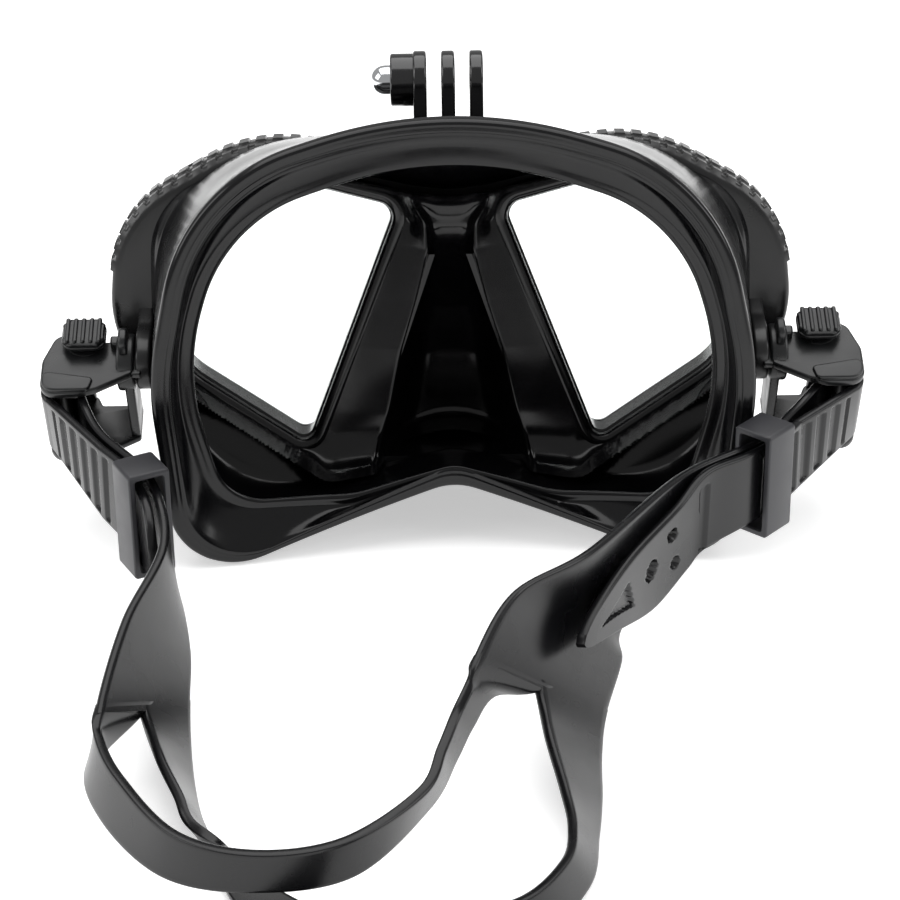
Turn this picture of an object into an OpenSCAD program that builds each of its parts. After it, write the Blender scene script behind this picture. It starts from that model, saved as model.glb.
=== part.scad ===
/* [Lenses and frame] */
// Distance of the bezels' front plane from the origin, at the foot
frame_y = 42; // [40:0.5:44]
// Lean of the lens plane away from the face, in degrees
lens_tilt = 10; // [9:0.5:11]
// Thickness of the tempered glass
glass = 4; // [3.5:0.1:4.2]
// Width of the glass seat's lap round the lens
lap = 2; // [1.5:0.1:2.5]
// Depth of the frame from its front face to its back face
frame_depth = 11; // [10:0.5:12]
// Spacing of the grip ribs round the rim
rib_pitch = 3.8; // [3:0.1:5]
// Height of the grip ribs
rib_height = 0.5; // [0.4:0.1:0.8]

/* [Skirt] */
// Wall thickness of the silicone
wall = 2.2; // [1.8:0.1:2.4]
// How far the nose pocket stands out in front of the lens plane
nose_depth = 15; // [12:0.5:18]

/* [Camera mount] */
// Radius of the hole through the three fins, for an M5 screw
fin_bore_r = 2.5; // [2.4:0.05:2.6]
// Thickness of each fin
fin = 3; // [2.8:0.1:3.1]
// Spacing of the fins
fin_pitch = 6.2; // [6.1:0.05:6.3]
// Height of the fins' hole above the origin
bore_z = 94.3; // [93.5:0.1:96]

/* [Buckles] */
// Distance of the swivel from the middle plane
pivot_x = 70.3; // [70.1:0.1:70.6]
// Height of the swivel
pivot_z = 37.5; // [37:0.1:38]
// Slope of the buckle at rest, in degrees
slope = 22; // [21:0.5:23]
// Travel of the release button
press = 1.2; // [0.8:0.1:1.4]

/* [Strap] */
// Width of the strap at the buckles
strap_w = 17.5; // [16.5:0.5:17.5]
// Thickness of the silicone strap
strap_t = 2; // [1.6:0.1:2.1]

/* [Hidden] */
$fn = 48;
fit = 0.05;           // radial clearance of a running fit
gap = 0.3;            // clearance between soft and moving pieces
arc_n = 7;            // steps in each rounded corner

// Corners of the lens, as [x, v, radius] in the lens plane, right side
LENS = [[31.5, 8.5, 5], [65.7, 32, 20], [65, 66, 18], [40, 77, 42], [8.5, 68.5, 6]];
// Right half of the frame's outline, from the nose corner up to the bridge
FRAME_HALF = [[25.8, -4, 7], [78, 33, 26], [75, 65, 26], [44, 82.3, 34], [8, 77.3, 20]];
NOTCH_TOP = [4, 60, 3.4];
// Right half of the skirt's front edge, behind the frame
BACK_HALF = [[29, 3, 9], [67, 28.5, 22], [66.6, 68, 18], [40, 80, 40], [9, 74, 20]];
// Right half of the sealing lip and of the seal's inner edge, as [x, z, radius]
LIP_HALF = [[60.5, -5, 15], [65.5, 44, 60], [56.5, 86, 38]];
SEAL_HALF = [[22, 12.5, 20], [50, 13, 12], [58, 44, 50], [48, 76, 32]];

// ---- outline functions ----
function mirror_pts(p) = [for (i = [len(p) - 1:-1:0]) [-p[i].x, p[i].y, p[i][2]]];
function unit(a) = a / norm(a);
function turn(a, b) = a.x * b.y - a.y * b.x;
// Corner i of an outline moved inward by d (counter-clockwise outline)
function moved(p, i, d) =
    let (n = len(p), a = p[(i + n - 1) % n], b = p[i], c = p[(i + 1) % n],
        e = unit([b.x - a.x, b.y - a.y]), f = unit([c.x - b.x, c.y - b.y]),
        m = [-e.y, e.x], k = [-f.y, f.x], s = sign(turn(e, f)))
    [b.x + d * (m.x + k.x) / (1 + m * k), b.y + d * (m.y + k.y) / (1 + m * k), max(0.4, b[2] - s * d)];
function inset(p, d) = [for (i = [0:len(p) - 1]) moved(p, i, d)];
// Arc points of corner i
function corner(p, i) =
    let (n = len(p), a = p[(i + n - 1) % n], b = p[i], c = p[(i + 1) % n],
        e = unit([b.x - a.x, b.y - a.y]), f = unit([c.x - b.x, c.y - b.y]),
        th = acos(max(-1, min(1, e * f))), s = sign(turn(e, f)), t = b[2] * tan(th / 2),
        p0 = [b.x - e.x * t, b.y - e.y * t], q = p0 + s * b[2] * [-e.y, e.x])
    [for (j = [0:arc_n - 1])
        let (g = atan2(p0.y - q.y, p0.x - q.x) + s * th * j / (arc_n - 1))
        q + b[2] * [cos(g), sin(g)]];
function rounded(p) = [for (i = [0:len(p) - 1]) each corner(p, i)];

// ---- resampling by arc length ----
function runs(p) = [for (i = 0, s = 0; i <= len(p); i = i + 1,
    s = s + (i <= len(p) ? norm(p[i % len(p)] - p[(i + len(p) - 1) % len(p)]) : 0)) s];
function closed_at(p, r, s) =
    let (t = s < 0 ? s + r[len(p)] : s > r[len(p)] ? s - r[len(p)] : s)
    [lookup(t, [for (i = [0:len(p)]) [r[i], p[i % len(p)].x]]),
     lookup(t, [for (i = [0:len(p)]) [r[i], p[i % len(p)].y]])];
function sampled(p, n) = let (r = runs(p)) [for (k = [0:n - 1]) closed_at(p, r, r[len(p)] * k / n)];

// ---- places ----
module lens_plane(w) translate([0, frame_y, 0]) rotate([90 - lens_tilt, 0, 0]) translate([0, 0, w]) children();
module slab(p, w0, w1) lens_plane(w0) linear_extrude(w1 - w0) polygon(p);
module both() { children(); mirror([1, 0, 0]) children(); }
function plane_point(x, v, w) =
    [x, frame_y + v * sin(lens_tilt) - w * cos(lens_tilt), v * cos(lens_tilt) + w * sin(lens_tilt)];

// Depths behind the bezels' front face
rim_w = 2.9;
lens_w = 2.5;
seat_w = lens_w + glass;
ledge_w = 9;
back_w = rim_w + frame_depth + 0.1;
skirt_w = back_w + 0.3;

FRAME_ALL = concat(FRAME_HALF, mirror_pts(FRAME_HALF), [[-NOTCH_TOP.x, NOTCH_TOP.y, NOTCH_TOP[2]], NOTCH_TOP]);

// ---- lenses and bezels ----
module lens() color([0.85, 0.9, 0.92, 0.4]) slab(rounded(LENS), lens_w, seat_w);

module bezel() color([0.13, 0.13, 0.14]) {
    difference() {
        slab(rounded(inset(LENS, -5)), 0, rim_w);
        slab(rounded(inset(LENS, lap)), -1, lens_w + 0.01);
        slab(rounded(inset(LENS, -0.2)), lens_w, rim_w + 1);
    }
    difference() {
        slab(rounded(inset(LENS, -3.9)), rim_w - 0.1, seat_w);
        slab(rounded(inset(LENS, -0.2)), rim_w - 0.2, seat_w + 1);
    }
}

// ---- frame ----
// Rim outline with a block rib at every pitch between the two ends of the grip
function ribbed(p, pitch, h) =
    let (r = runs(p), n = floor(r[len(p)] / pitch), q = r[len(p)] / n)
    [for (k = [0:n - 1]) each [for (j = [0:3])
        let (s = q * (k + [0.02, 0.04, 0.5, 0.52][j]), c = closed_at(p, r, s),
            d = closed_at(p, r, s + 0.1) - closed_at(p, r, s - 0.1), m = unit([d.y, -d.x]),
            grip = (c.y > 56 && abs(c.x) > 22) ? 1 : 0)
        c + m * ((j == 1 || j == 2) ? h * grip : 0)]];

pivot_y = 26;
lug_l = 3.4;
module lug() {
    translate([pivot_x - gap - lug_l, pivot_y, pivot_z]) rotate([0, 90, 0]) cylinder(r = 6, h = lug_l);
    hull() {
        translate([pivot_x - gap - lug_l, pivot_y, pivot_z])
            rotate([0, 90, 0]) cylinder(r = 5.6, h = lug_l, $fn = 32);
        translate([pivot_x - gap - 1.4, pivot_y + 11, pivot_z + 5]) cube([2.8, 5, 9], center = true);
    }
}

module frame() color([0.12, 0.12, 0.13]) difference() {
    union() {
        difference() {
            union() {
                slab(rounded(FRAME_ALL), rim_w, back_w);
                slab(ribbed(rounded(inset(FRAME_ALL, 0.2)), rib_pitch, rib_height), rim_w + 0.4, rim_w + 6.2);
                slab(ribbed(rounded(inset(FRAME_ALL, 0.6)), rib_pitch, rib_height), rim_w + 7, back_w - 0.6);
            }
            both() slab(rounded(inset(LENS, -4.1)), rim_w - 1, ledge_w);
            both() slab(rounded(inset(LENS, -1.1)), ledge_w - 1, back_w + 1);
            slab([[-seat_half, seat_v], [seat_half, seat_v], [seat_half, 95], [-seat_half, 95]], 0, back_w + 1);
        }
        both() lug();
    }
    both() translate([pivot_x - 3.5, pivot_y, pivot_z]) rotate([0, 90, 0]) cylinder(r = 2, h = 12);
    for (v = screw_v) lens_plane(0) translate([0, v, 0]) cylinder(r = 1, h = screw_l);
}

// ---- skirt ----
stations = 72;
BACK_PTS = concat([[0, 9, 14]], BACK_HALF, [[0, 73, 30]], mirror_pts(BACK_HALF));
BACK = sampled(rounded(BACK_PTS), stations);
LIP = sampled(rounded(concat([[0, 16, 14]], LIP_HALF, [[0, 101, 110]], mirror_pts(LIP_HALF))), stations);
SEAL = sampled(rounded(concat([[0, 18.5, 10]], SEAL_HALF, [[0, 90, 90]], mirror_pts(SEAL_HALF))), stations);
// How far forward the lip stands at a place on the face
function lip_y(p) = 10 - 8 * pow(p.x / 62, 2) + 6 * (p.y - 45) / 50;
function shrink(p, d) = let (c = [0, 45], e = p - c) c + e * (1 - d / norm(e));
function front_ring(i, d, w) = let (p = shrink(BACK[i], d)) plane_point(p.x, p.y, w);
function lip_ring(i, d, y) = let (p = shrink(LIP[i], d)) [p.x, lip_y(LIP[i]) + y, p.y];
function seal_ring(i, d, y) = let (p = shrink(SEAL[i], d)) [p.x, lip_y(SEAL[i]) + 3.5 + y, p.y];
function mix(a, b, t) = a * (1 - t) + b * t;
function section(i) = let (
        f = front_ring(i, 0, skirt_w), g = front_ring(i, wall, skirt_w + 2),
        l = lip_ring(i, 0, 0), k = lip_ring(i, wall, 2.4))
    [f, waist(f, l), mix(waist(f, l), l, 0.5), l + [0, 1.2, 0], lip_ring(i, 0.8, 0),
     mix(lip_ring(i, 1.5, 0.1), seal_ring(i, 0, -1), 0.5), seal_ring(i, 0, 0), seal_ring(i, 0, 0.9),
     mix(k, seal_ring(i, 0, 0.9), 0.5), k, mix(waist(g, k), k, 0.5), waist(g, k) + [0, 1, 0], g];
// The wall steps in behind the frame, to leave room for the buckles
function waist(f, l) = [mix(f, l, 0.72).x, f.y - 6, mix(f, l, 0.72).z];
module skirt_wall() {
    m = len(section(0));
    polyhedron(points = [for (i = [0:stations - 1]) each section(i)],
        faces = [for (i = [0:stations - 1]) for (j = [0:m - 1])
            let (i2 = (i + 1) % stations, j2 = (j + 1) % m)
            each [[i * m + j, i * m + j2, i2 * m + j2], [i * m + j, i2 * m + j2, i2 * m + j]]]);
}

// Nose pocket: at each height a rounded arch from one side of the notch to the other
function pocket_half(v) = NOTCH_TOP.x + (FRAME_HALF[0].x - NOTCH_TOP.x) * (60 - v) / 64 - 0.6;
function pocket_out(v) = nose_depth * (1 - pow((60 - v) / 62, 8)) * min(1, (64 - v) / 50) - 5;
function arch(v, d) = let (hw = pocket_half(v) - d, lo = skirt_w + 1.5, dp = lo + pocket_out(v) - d)
    [for (a = [0:12:180])
        plane_point(hw * sign(cos(a)) * pow(abs(cos(a)), 0.7), v, lo - dp * pow(sin(a), 0.6))];
module pocket(d, v0, v1) {
    vs = [for (k = [0:10]) v0 + (v1 - v0) * (1 - cos(18 * k)) / 2];
    rings = [for (v = vs) arch(v, d)];
    m = len(rings[0]);
    n = len(rings);
    polyhedron(points = [for (r = rings) each r],
        faces = concat(
            [[for (j = [0:m - 1]) j]],
            [[for (j = [m - 1:-1:0]) (n - 1) * m + j]],
            [for (i = [0:n - 2]) for (j = [0:m - 1]) let (k = (j + 1) % m)
                each [[i * m + j, (i + 1) * m + j, (i + 1) * m + k],
                    [i * m + j, (i + 1) * m + k, i * m + k]]]));
}

module skirt() color([0.07, 0.07, 0.07]) union() {
    skirt_wall();
    difference() {
        union() {
            slab(rounded(inset(BACK_PTS, 1.5)), skirt_w + 0.23, skirt_w + 1.6);
            both() slab(rounded(inset(LENS, -0.9)), ledge_w - 0.2, skirt_w + 0.6);
            both() slab(rounded(inset(LENS, -3.8)), seat_w, ledge_w - 0.1);
            pocket(0, 3, 56);
        }
        both() slab(rounded(inset(LENS, 2.5)), seat_w - 1, skirt_w + 3);
        difference() {
            pocket(wall, 5.5, 53.5);
            both() slab(rounded(inset(LENS, -0.9)), seat_w - 1, skirt_w);
        }
        slab([[-16, 10], [16, 10], [5, 49], [-5, 49]], skirt_w - 2, skirt_w + 3);
    }
    // Grip ridges on the sides of the nose pocket
    for (v = [12:5:32]) both()
        hull() for (w = [-5, 1])
            lens_plane(w) translate([pocket_half(v) - 1.3, v, 0]) cube([1.6, 1.7, 1.3], center = true);
}

// ---- camera mount ----
mount_y = 49;
seat_v = 77.6;
seat_half = 11.6;
fin_r = 6.3;
nut_r = 4.6;
screw_v = [66.5, 72.5];
screw_l = 8.5;
tongue_w = 0.7;
module camera_mount() color([0.1, 0.1, 0.11]) difference() {
    union() {
        for (i = [-1:1]) translate([i * fin_pitch - fin / 2, mount_y, 0]) {
            translate([0, 0, bore_z]) rotate([0, 90, 0]) cylinder(r = fin_r, h = fin);
            translate([0, -fin_r, 80]) cube([fin, 2 * fin_r, bore_z - 80]);
        }
        slab([[-11.4, seat_v], [11.4, seat_v], [9.6, seat_v + 5.5], [-9.6, seat_v + 5.5]],
            rim_w + 0.3, back_w - 0.2);
        slab([[-3.8, 63], [3.8, 63], [3.8, seat_v + 3], [-3.8, seat_v + 3]], tongue_w, rim_w);
        slab([[-3.8, seat_v], [3.8, seat_v], [3.8, seat_v + 3], [-3.8, seat_v + 3]], tongue_w, rim_w + 1);
        translate([-fin_pitch - fin / 2 - 5, mount_y, bore_z]) rotate([0, 90, 0]) cylinder(r = 5.8, h = 5.5);
    }
    translate([-20, mount_y, bore_z]) rotate([0, 90, 0]) cylinder(r = fin_bore_r, h = 40);
    translate([-fin_pitch - fin / 2 - 6, mount_y, bore_z]) rotate([0, 90, 0])
        cylinder(r = nut_r, h = 4.5, $fn = 6);
    for (v = screw_v) lens_plane(0) translate([0, v, 0]) cylinder(r = 1.1, h = rim_w + 1);
}

module mount_screws() color([0.55, 0.55, 0.57]) for (v = screw_v) lens_plane(0) translate([0, v, 0]) {
    translate([0, 0, tongue_w - 0.1]) cylinder(r = 1, h = screw_l - tongue_w - 0.4);
    translate([0, 0, tongue_w - 1.3]) cylinder(r = 1.9, h = 1.3);
}

module acorn_nut() color([0.8, 0.8, 0.82]) translate([-fin_pitch - fin / 2 - 5, mount_y, bore_z])
    rotate([0, -90, 0]) difference() {
        union() {
            translate([0, 0, -3]) cylinder(r = nut_r - 0.1, h = 3.4, $fn = 6);
            rotate_extrude() intersection() {
                square([4, 6.2]);
                union() {
                    square([3.3, 2.6]);
                    translate([0, 2.6]) circle(r = 3.3);
                }
            }
        }
        translate([0, 0, -4]) cylinder(r = 2.1, h = 7.5);
    }

// ---- buckles: built at the swivel, then sloped about the X axis ----
roller_x = 16;
roller_y = -8;
roller_z = -8.5;
inner_h = strap_w + 2;
cheek = 2;
roller_r = 2.3;
roller_pin_r = 1;
button_x = 11.2;
button_y = 3;
button_r = 2.6;
spring_r = 1.9;
base_t = 3.9;
front_y = 3.4;
cheek_top = roller_z + inner_h / 2;
cheek_low = roller_z - inner_h / 2;
well_floor = cheek_top - 7.5;
stem_top = cheek_top + cheek + 0.1;
cap_low = stem_top + press + 0.1;

module at_swivel() translate([pivot_x, pivot_y, pivot_z]) rotate([slope, 0, 0]) children();
module side(s) mirror([s < 0 ? 1 : 0, 0, 0]) children();

module cheek_plate(z) translate([0, 0, z]) linear_extrude(cheek) polygon(rounded([
    [0.2, -6, 1], [8, -10.5, 4], [12, -11.8, 4], [roller_x + 4.4, -11.8, 3.6],
    [roller_x + 4.4, -2, 5], [17.8, 5.2, 3], [10.8, 6.8, 2], [9.4, front_y, 0.8], [0.2, front_y, 0.8]]));

module buckle() color([0.2, 0.21, 0.21]) at_swivel() difference() {
    union() {
        cheek_plate(cheek_top);
        cheek_plate(cheek_low - cheek);
        rotate([0, 90, 0]) cylinder(r = 6.3, h = base_t);
        translate([0, -6, cheek_low - cheek]) cube([base_t, 6 + front_y, cheek_top + 2 * cheek - cheek_low]);
        // Outer wall, round the front of the channel
        translate([0, 0, cheek_low - 0.1]) linear_extrude(inner_h + 0.2) polygon([[10.8, 6.7], [17.8, 5.1],
            [19.6, 1.6], [20.2, -1.8], [18.6, -1.8], [17.6, 1.4], [16.6, 3.3], [10.8, 4.7]]);
        translate([button_x, button_y, well_floor - 1.6])
            cylinder(r = button_r + 1.5, h = stem_top - well_floor + 1.6);
    }
    translate([-1, 0, 0]) rotate([0, 90, 0]) cylinder(r = 2 + fit, h = 8);
    translate([base_t, 0, 0]) rotate([0, 90, 0]) cylinder(r = 3.4, h = 1.6);
    translate([roller_x, roller_y, cheek_low - 2 * cheek]) cylinder(r = roller_pin_r, h = inner_h + 4 * cheek);
    translate([button_x, button_y, well_floor]) cylinder(r = button_r + fit, h = 20);
}

module swivel_pin() color([0.3, 0.3, 0.31]) translate([pivot_x - 3.5, pivot_y, pivot_z]) rotate([0, 90, 0]) {
    cylinder(r = 2, h = 3.6 + base_t);
    translate([0, 0, 3.6 + base_t]) cylinder(r = 3.1, h = 1);
}

module roller() color([0.25, 0.25, 0.26]) at_swivel()
    translate([roller_x, roller_y, cheek_low + 0.2]) difference() {
        cylinder(r = roller_r, h = inner_h - 0.4);
        translate([0, 0, -1]) cylinder(r = roller_pin_r + fit, h = inner_h + 2);
    }

module roller_pin() color([0.7, 0.7, 0.72]) at_swivel()
    translate([roller_x, roller_y, cheek_low - cheek]) cylinder(r = roller_pin_r, h = inner_h + 2 * cheek);

module button() color([0.2, 0.2, 0.21]) at_swivel() translate([button_x, button_y, 0]) {
    difference() {
        translate([0, 0, well_floor + 3.2]) cylinder(r = button_r, h = cap_low - well_floor - 3);
        translate([0, 0, well_floor + 3]) cylinder(r = spring_r + 0.25, h = 4.2);
    }
    difference() {
        translate([-5, -3.9, cap_low]) cube([10, 8.4, 2.8]);
        for (x = [-3.6:1.8:3.7]) translate([x - 0.4, -4.5, cap_low + 2.1]) cube([0.8, 10, 2]);
    }
}

module button_spring() color([0.75, 0.75, 0.77]) at_swivel() translate([button_x, button_y, well_floor])
    for (k = [0:4]) translate([0, 0, 0.35 + k * 1.55])
        rotate_extrude() translate([spring_r - 0.35, 0]) circle(r = 0.3);

// ---- strap: a ribbon between a lower and an upper edge ----
// Hand-set stations, each [lower x, y, z, upper x, y, z], from the right buckle backwards
RIGHT = [[74.8, 9.8, 15.6, 74.8, 9.3, 32.4], [64.9, -6, 15.8, 64.9, -6, 32.6],
    [46.8, -21.5, 13.5, 46.8, -22, 33], [33.6, -37.8, 6.2, 25.8, -53.6, 33.5]];
SPLIT_R = [28.6, -64.6, 1.6, 2.2, -83.9, 28];
UPPER_BAND = [[6.1, -77.6, 16, 1, -87.8, 24.5], [1.3, -83.6, 12.5, -1.5, -91.2, 20.5],
    [-1.9, -90.6, 10, -4.2, -98.7, 18], [-7.1, -101.7, 7, -8.1, -109, 15.5],
    [-20.8, -120, 5.2, -21.9, -121.2, 14], [-38.7, -124.1, 5.2, -38, -124.5, 14],
    [-54.9, -117.2, 3.6, -52.6, -118, 14], [-67.3, -100.8, 4.2, -63.6, -102.5, 15.5],
    [-71.6, -81, 6, -67.8, -86, 16.5]];
LOWER_BAND = [[26.7, -78.5, 1.1, 15.9, -86.4, 12], [25.8, -92.5, 1.1, 18.2, -100.4, 9.5],
    [24.3, -104.6, 1.1, 19.2, -111.7, 9], [21.6, -119.5, 1.1, 17.2, -122.8, 9.5],
    [11, -134.5, 1.1, 8.7, -133.5, 9.5], [-6, -138.5, 1.1, -6, -137.5, 9.5],
    [-24, -137, 1.1, -22, -129, 2.4], [-39.5, -127, 1.1, -34.5, -120, 2],
    [-46.7, -110.5, 1.1, -43.5, -110, 4], [-48.5, -102.5, 1.1, -51, -105.5, 7],
    [-50.9, -94, 1.1, -53.6, -99.5, 9], [-53.1, -79.1, 1.1, -58, -88.5, 10]];
SPLIT_L = [-54.9, -57.7, 1.4, -69.5, -83.5, 18];
LEFT = [[-55.9, -41.9, 4, -66, -61.5, 24], [-58.9, -30.2, 10, -59.8, -38.5, 28.4],
    [-64.6, -18.6, 14.5, -64.2, -17.4, 32.3], [-77, 5, 15.5, -77, 4, 32.6]];
// Stations of the right tail's cut end, tip last
TAIL_R = [[47.6, -24.5, 11.3, 45.4, -28.9, 29.4], [40, -33.5, 7.4, 34.4, -45.7, 27.2],
    [30.7, -51.8, 13.3, 26.5, -58.8, 23.2], [24, -64.6, 17.2, 23.2, -65, 19.3]];

function low(s) = [s[0], s[1], s[2]];
function high(s) = [s[3], s[4], s[5]];
function curve(a, b, c, d, t) =
    0.5 * (2 * b + (c - a) * t + (2 * a - 5 * b + 4 * c - d) * t * t + (3 * b - a - 3 * c + d) * t * t * t);
// Smooth row of stations through p, k steps between neighbours
function smooth(p, k) = [for (i = [0:len(p) - 2]) for (j = [0:(i == len(p) - 2 ? k : k - 1)])
    curve(p[max(0, i - 1)], p[i], p[i + 1], p[min(len(p) - 1, i + 2)], j / k)];
function side_of(p, i) =
    let (a = p[max(0, i - 1)], b = p[min(len(p) - 1, i + 1)], t = (low(b) + high(b) - low(a) - high(a)))
    unit(cross(t, high(p[i]) - low(p[i])));
// The same stations moved sideways by d
function beside(p, d) = [for (i = [0:len(p) - 1]) let (m = side_of(p, i) * d)
    [p[i][0] + m.x, p[i][1] + m.y, p[i][2] + m.z, p[i][3] + m.x, p[i][4] + m.y, p[i][5] + m.z]];
module ribbon(p, t) {
    q = beside(p, t / 2);
    r = beside(p, -t / 2);
    pts = [for (i = [0:len(p) - 1]) each [low(q[i]), high(q[i]), high(r[i]), low(r[i])]];
    n = len(p);
    polyhedron(points = pts, faces = concat([[3, 2, 1, 0]], [[4 * n - 4, 4 * n - 3, 4 * n - 2, 4 * n - 1]],
        [for (i = [0:n - 2]) for (j = [0:3]) let (k = (j + 1) % 4)
            each [[4 * i + j, 4 * i + 4 + k, 4 * i + 4 + j], [4 * i + j, 4 * i + k, 4 * i + 4 + k]]]));
}

// Turn round the roller, in the buckle's sloped axes
function sloped(x, y, z) = [pivot_x + x, pivot_y + y * cos(slope) - z * sin(slope),
    pivot_z + y * sin(slope) + z * cos(slope)];
wrap_r = roller_r + gap + strap_t / 2;
function turn_station(a) = let (x = roller_x + wrap_r * cos(a), y = roller_y + wrap_r * sin(a),
    p = sloped(x, y, roller_z - strap_w / 2), q = sloped(x, y, roller_z + strap_w / 2))
    [p.x, p.y, p.z, q.x, q.y, q.z];
function flipped(s, m) = [s[0] * m, s[1], s[2], s[3] * m, s[4], s[5]];
lay = strap_t + 0.9;   // distance between the strap and its returned tail
steps = 6;             // stations between neighbouring points of the strap
function main_run(row, m) = smooth(concat([flipped(turn_station(150), m)], row), steps);
RUN_R = main_run(concat(RIGHT, [SPLIT_R]), 1);
RUN_L = main_run(concat([for (i = [3:-1:0]) LEFT[i]], [SPLIT_L]), -1);

BACK_R = beside(RUN_R, -lay);
BACK_L = beside(RUN_L, lay);
TAIL_L = [part_of(BACK_L[16], 0.05, 0.9), part_of(BACK_L[18], 0.3, 0.6)];
// The same station with its ends moved to the fractions a and b of its width
function part_of(s, a, b) =
    let (p = mix(low(s), high(s), a), q = mix(low(s), high(s), b)) [p.x, p.y, p.z, q.x, q.y, q.z];

// Tail, turn and main run of one side, for m = 1 right or -1 left; the tail lies outside the main run
module strap_end(main, back, tip, m) {
    tail = smooth(concat([back[11], back[14]], tip), 3);
    wrap = [for (a = [-45:15:150]) flipped(turn_station(a), m)];
    ribbon(concat([for (i = [len(tail) - 1:-1:0]) tail[i]], [for (i = [10:-1:8]) back[i]], wrap,
        [for (i = [1:len(main) - 1]) main[i]]), strap_t);
}

module strap() color([0.16, 0.16, 0.16]) {
    strap_end(RUN_R, BACK_R, concat([BACK_R[17]], TAIL_R), 1);
    strap_end(RUN_L, BACK_L, TAIL_L, -1);
    upper = smooth(concat([RIGHT[3], half_top(SPLIT_R)], UPPER_BAND, [half_top(SPLIT_L), LEFT[0]]), 5);
    ribbon([for (i = [5:len(upper) - 6]) upper[i]], strap_t);
    lower = smooth(concat([RIGHT[3], half_low(SPLIT_R)], LOWER_BAND, [half_low(SPLIT_L), LEFT[0]]), 5);
    ribbon([for (i = [5:len(lower) - 6]) lower[i]], strap_t);
}
// The bands overlap a little in the middle of the strap where they part
function half_top(s) = part_of(s, 0.46, 1);
function half_low(s) = part_of(s, 0, 0.54);

// ---- keepers: rectangular rings round the strap and its tail ----
keeper_l = 9;
keeper_wall = 1.5;
keeper_gap = 0.7;
keeper_in = strap_w + 4;
module keeper(run, m) {
    a = run[2 * steps];
    d = run[2 * steps + 1] - run[2 * steps - 1];
    w = lay + strap_t + 2 * keeper_gap;
    color([0.38, 0.38, 0.4]) translate((low(a) + high(a)) / 2) rotate([0, 0, atan2(d[1], d[0])])
        translate([0, m * lay / 2, 0]) difference() {
            cube([keeper_l, w + 2 * keeper_wall, keeper_in + 2 * keeper_wall], center = true);
            cube([keeper_l + 2, w, keeper_in], center = true);
        }
}

// The whole part stands with the middle of its length over the origin
mid_y = 41.8;
translate([0, mid_y, 0]) {
    skirt();
    frame();
    lens();  // lens_right
    side(-1) lens();  // lens_left
    bezel();  // bezel_right
    side(-1) bezel();  // bezel_left
    camera_mount();
    mount_screws();
    acorn_nut();
    swivel_pin();  // swivel_pin_right
    side(-1) swivel_pin();  // swivel_pin_left
    buckle();  // buckle_right
    side(-1) buckle();  // buckle_left
    roller();  // roller_right
    side(-1) roller();  // roller_left
    roller_pin();  // roller_pin_right
    side(-1) roller_pin();  // roller_pin_left
    button();  // button_right
    side(-1) button();  // button_left
    button_spring();  // button_spring_right
    side(-1) button_spring();  // button_spring_left
    keeper(RUN_R, 1);  // keeper_right
    keeper(RUN_L, -1);  // keeper_left
    strap();
}
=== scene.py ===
"""Looks of a two-lens diving mask with a head strap, swivel buckles and a camera mount.

Sizes in this script are millimetres with the foot of the bezels' front plane at y = 42; put() moves every
piece forward by FORWARD, to the CAD's own frame, and turns millimetres to metres.
The lens plane leans 10 degrees: (x, v, w) is across, up the lenses, and back from the bezels' face.
"""
import math

import bmesh
import bpy
import numpy as np
from mathutils import Matrix, Vector
from mathutils.geometry import tessellate_polygon


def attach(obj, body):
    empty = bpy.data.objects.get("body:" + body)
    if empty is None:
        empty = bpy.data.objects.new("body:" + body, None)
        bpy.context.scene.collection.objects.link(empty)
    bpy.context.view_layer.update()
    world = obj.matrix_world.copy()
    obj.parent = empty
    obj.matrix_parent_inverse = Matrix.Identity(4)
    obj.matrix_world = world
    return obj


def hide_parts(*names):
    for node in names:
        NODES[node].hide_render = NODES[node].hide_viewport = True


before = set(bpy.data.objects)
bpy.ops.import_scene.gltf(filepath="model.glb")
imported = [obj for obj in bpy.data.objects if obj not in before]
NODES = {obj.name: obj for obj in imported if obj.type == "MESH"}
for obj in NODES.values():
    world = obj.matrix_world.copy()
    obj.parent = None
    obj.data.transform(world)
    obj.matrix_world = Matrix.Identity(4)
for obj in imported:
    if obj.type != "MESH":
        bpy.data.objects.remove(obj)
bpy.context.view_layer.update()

MM = 0.001
FORWARD = 41.8      # mm from the drawing origin used here to the CAD's origin

# ---------------------------------------------------------------- camera


def aim_camera(azimuth, elevation, roll, target, distance, lens):
    """Camera on a sphere round target; its axes are the view frame turned by roll about the line of sight."""
    a, e, q = (math.radians(t) for t in (azimuth, elevation, roll))
    back = np.array([math.sin(a) * math.cos(e), -math.cos(a) * math.cos(e), math.sin(e)])
    side = np.cross(-back, [0, 0, 1])
    side /= np.linalg.norm(side)
    rise = np.cross(side, -back)
    right = math.cos(q) * side + math.sin(q) * rise
    up = -math.sin(q) * side + math.cos(q) * rise
    data = bpy.data.cameras.new("camera")
    data.lens, data.sensor_width, data.clip_start, data.clip_end = lens, 36, 0.01, 30
    camera = bpy.data.objects.new("camera", data)
    bpy.context.scene.collection.objects.link(camera)
    place = (np.array(target) + back * distance) * MM
    camera.matrix_world = Matrix([[*r, p] for r, p in zip(np.stack([right, up, back], 1), place)] + [[0, 0, 0, 1]])
    bpy.context.scene.camera = camera


aim_camera(-0.6, 28, -0.67, (-1.2, FORWARD - 20, 38.5), 560, 108)

# ---------------------------------------------------------------- outlines and surfaces


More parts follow.
